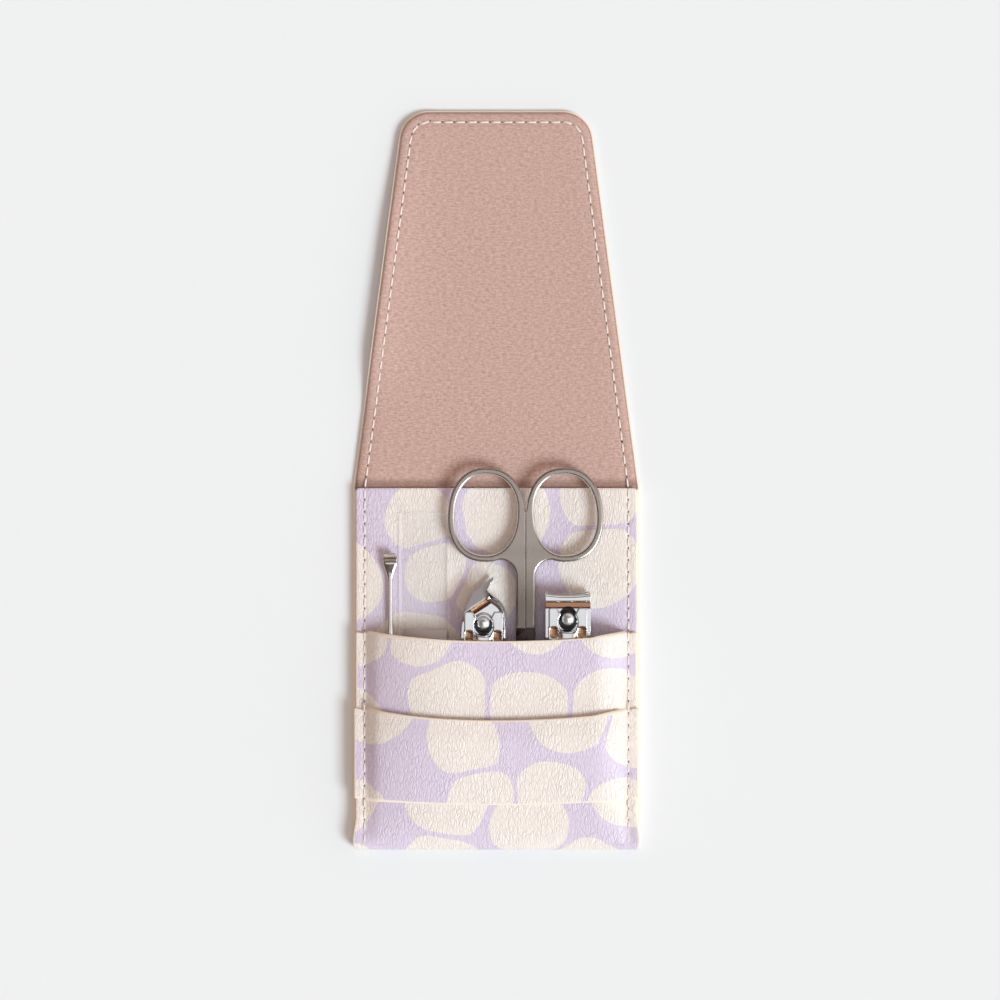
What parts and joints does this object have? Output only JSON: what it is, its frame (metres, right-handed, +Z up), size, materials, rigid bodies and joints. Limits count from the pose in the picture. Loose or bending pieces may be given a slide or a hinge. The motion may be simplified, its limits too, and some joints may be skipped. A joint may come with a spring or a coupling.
{
  "type": "manicure set case",
  "caption": "Folding faux-leather manicure set case lying open: tapered flap over a pocket and band that hold scissors, nail clippers, ear pick and file.",
  "frame": {"origin": "middle of the open case, on the surface that its back lies on", "axes": "+X to the right across the case, +Y towards the tip of the flap, +Z up out of the back"},
  "size_m": [0.089, 0.2294, 0.0145],
  "materials": {
    "outer_leather": "faux leather, pebble grain, cream and lilac print, cream cut edge",
    "printed_leather": "faux leather, pebble grain, cream and lilac print",
    "lining": "dusty rose canvas weave",
    "board": "grey board, hidden",
    "thread": "cream thread",
    "scissors_steel": "satin stainless steel",
    "clipper_chrome": "polished plating",
    "file_steel": "steel with a cut abrasive face",
    "sleeve_film": "clear soft plastic film"
  },
  "bodies": {
    "case": {"back_shell": "outer_leather", "back_board": "board", "back_lining": "lining", "inner_panel": "printed_leather", "pocket_panel": "printed_leather", "closure_band": "printed_leather", "left_seam_stitching": "thread", "right_seam_stitching": "thread"},
    "spine": {"spine_shell": "outer_leather", "spine_board": "board", "spine_lining": "lining", "spine_stitching": "thread"},
    "flap": {"flap_shell": "outer_leather", "flap_board": "board", "flap_lining": "lining", "flap_stitching": "thread"},
    "scissors_pivot": {"scissors_screw": "scissors_steel"},
    "scissors_left": {"scissors_left_half": "scissors_steel"},
    "scissors_right": {"scissors_right_half": "scissors_steel"},
    "straight_clipper": {"straight_lower_jaw": "clipper_chrome", "straight_rivet": "clipper_chrome"},
    "straight_upper_arm": {"straight_upper_jaw": "clipper_chrome"},
    "straight_lever_and_pin": {"straight_lever": "clipper_chrome", "straight_pin": "clipper_chrome"},
    "pointed_clipper": {"pointed_lower_jaw": "clipper_chrome", "pointed_rivet": "clipper_chrome"},
    "pointed_upper_arm": {"pointed_upper_jaw": "clipper_chrome"},
    "pointed_lever_and_pin": {"pointed_lever": "clipper_chrome", "pointed_pin": "clipper_chrome"},
    "ear_pick": {"ear_pick": "clipper_chrome"},
    "file_sleeve": {"file_sleeve": "sleeve_film"},
    "nail_file": {"nail_file": "file_steel"}
  },
  "joints": [
    {"name": "spine_fold", "type": "hinge", "parent": "case", "child": "spine", "pos_m": [0, 0.00559, 0.0024], "axis": [-1, 0, 0], "range_deg": [-90, 0]},
    {"name": "flap_fold", "type": "hinge", "parent": "spine", "child": "flap", "pos_m": [0, 0.01821, 0.0024], "axis": [-1, 0, 0], "range_deg": [-90, 0]},
    {"name": "scissors_slide", "type": "slide", "parent": "case", "child": "scissors_pivot", "axis": [0, 1, 0], "range_m": [0, 0.045]},
    {"name": "scissors_left_open", "type": "hinge", "parent": "scissors_pivot", "child": "scissors_left", "pos_m": [0.009, -0.05431, 0.0064], "axis": [0, 0, 1], "range_deg": [0, 5]},
    {"name": "scissors_right_open", "type": "hinge", "parent": "scissors_pivot", "child": "scissors_right", "pos_m": [0.009, -0.05431, 0.0064], "axis": [0, 0, 1], "range_deg": [-5, 0]},
    {"name": "straight_clipper_slide", "type": "slide", "parent": "case", "child": "straight_clipper", "axis": [0, 1, 0], "range_m": [0, 0.008]},
    {"name": "straight_jaw_squeeze", "type": "hinge", "parent": "straight_clipper", "child": "straight_upper_arm", "pos_m": [0.022, -0.08716, 0.0059], "axis": [1, 0, 0], "range_deg": [-1.9, 0], "stiffness_Nm_per_rad": 2},
    {"name": "straight_lever_swivel", "type": "hinge", "parent": "straight_clipper", "child": "straight_lever_and_pin", "pos_m": [0.022, -0.04281, 0.009], "axis": [0, 0, 1], "range_deg": [-6, 6]},
    {"name": "pointed_clipper_slide", "type": "slide", "parent": "case", "child": "pointed_clipper", "axis": [0, 1, 0], "range_m": [0, 0.004]},
    {"name": "pointed_jaw_squeeze", "type": "hinge", "parent": "pointed_clipper", "child": "pointed_upper_arm", "pos_m": [-0.004, -0.08836, 0.0059], "axis": [1, 0, 0], "range_deg": [-1.7, 0], "stiffness_Nm_per_rad": 2},
    {"name": "pointed_lever_swivel", "type": "hinge", "parent": "pointed_clipper", "child": "pointed_lever_and_pin", "pos_m": [-0.004, -0.04401, 0.009], "axis": [0, 0, 1], "range_deg": [-6, 6]},
    {"name": "ear_pick_slide", "type": "slide", "parent": "case", "child": "ear_pick", "axis": [0, 1, 0], "range_m": [0, 0.056]},
    {"name": "sleeve_slide", "type": "slide", "parent": "case", "child": "file_sleeve", "axis": [0, 1, 0], "range_m": [0, 0.058]},
    {"name": "file_slide", "type": "slide", "parent": "file_sleeve", "child": "nail_file", "axis": [0, 1, 0], "range_m": [0, 0.095]}
  ],
  "couplings": [
    {"joint": "scissors_right_open", "follows": "scissors_left_open", "ratio": -1}
  ]
}
